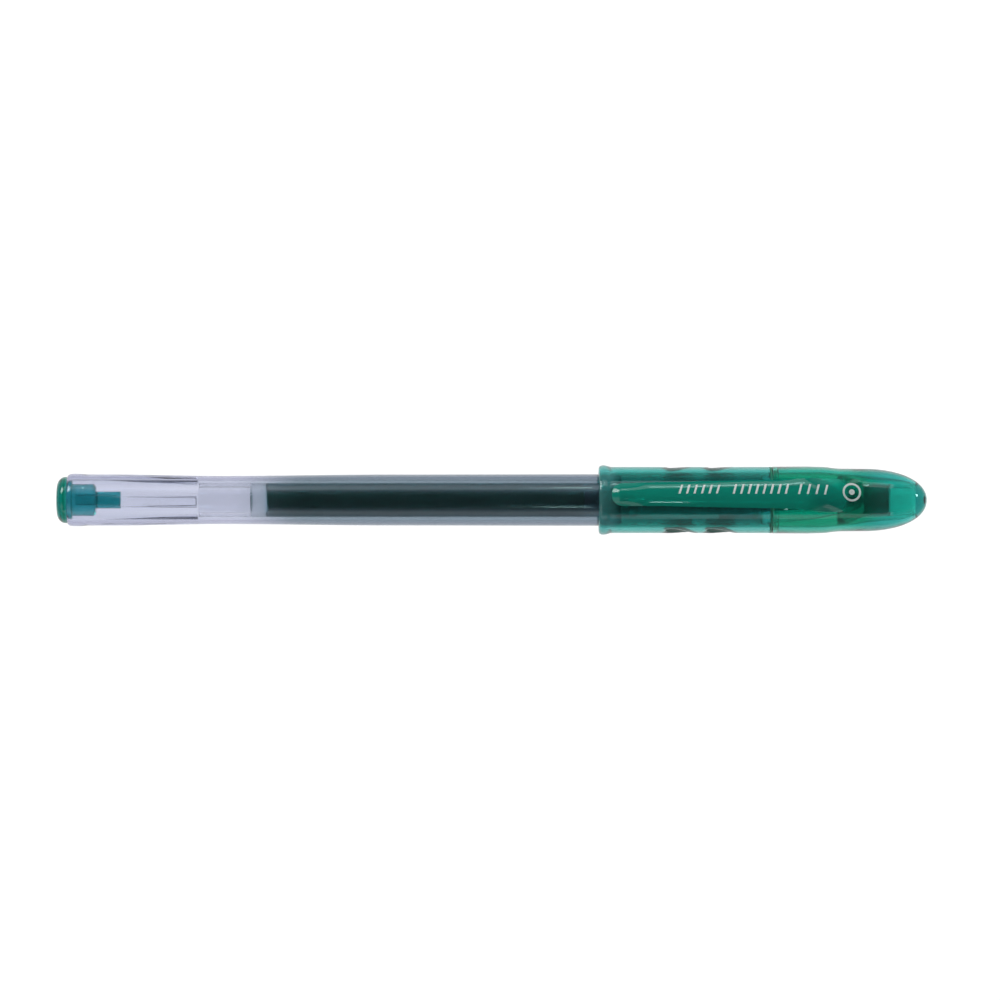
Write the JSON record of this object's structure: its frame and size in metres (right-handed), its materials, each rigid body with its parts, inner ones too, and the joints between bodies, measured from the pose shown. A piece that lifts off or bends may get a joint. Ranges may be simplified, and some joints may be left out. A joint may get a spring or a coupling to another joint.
{
  "type": "gel pen",
  "caption": "Capped gel pen: clear waisted barrel with a plugged tail, refill with ink and follower, screw-on nose, and a translucent push-on cap with a springy clip.",
  "frame": {"origin": "centre of the tail plug's flat end face", "axes": "+X along the pen from the tail to the cap's domed end, +Z out through the pocket clip, +Y to the side"},
  "size_m": [0.149, 0.012, 0.0141],
  "materials": {
    "clear_plastic": "clear moulded plastic with a faint cool tint",
    "green_clear_plastic": "transparent green moulded plastic",
    "grip_rubber": "translucent soft rubber",
    "milky_plastic": "milky translucent extruded plastic",
    "green_ink": "dark green gel ink",
    "follower_grease": "translucent grease",
    "holder_plastic": "natural moulded plastic",
    "tip_metal": "turned nickel silver",
    "ball_metal": "polished carbide",
    "liner_plastic": "translucent moulded plastic",
    "seal_rubber": "soft green rubber"
  },
  "bodies": {
    "barrel": {"barrel": "clear_plastic", "tail_plug": "green_clear_plastic", "rubber_grip": "grip_rubber"},
    "refill": {"refill_tube": "milky_plastic", "ink": "green_ink", "ink_follower": "follower_grease", "tip_holder": "holder_plastic", "writing_tip": "tip_metal", "ball": "ball_metal"},
    "nose": {"nose_cone": "clear_plastic"},
    "cap": {"cap_tube": "green_clear_plastic", "cap_crown": "green_clear_plastic", "inner_cap": "liner_plastic", "tip_seal": "seal_rubber"},
    "clip": {"clip": "green_clear_plastic"}
  },
  "joints": [
    {"name": "refill_draw", "type": "slide", "parent": "barrel", "child": "refill", "axis": [1, 0, 0], "range_m": [0, 0.105]},
    {"name": "nose_draw", "type": "slide", "parent": "refill", "child": "nose", "axis": [1, 0, 0], "range_m": [0, 0.032]},
    {"name": "cap_pull", "type": "slide", "parent": "nose", "child": "cap", "axis": [1, 0, 0], "range_m": [0, 0.06]},
    {"name": "clip_flex", "type": "hinge", "parent": "cap", "child": "clip", "pos_m": [0.1386, 0, 0.00555], "axis": [0, 1, 0], "range_deg": [0, 5], "stiffness_Nm_per_rad": 1}
  ]
}
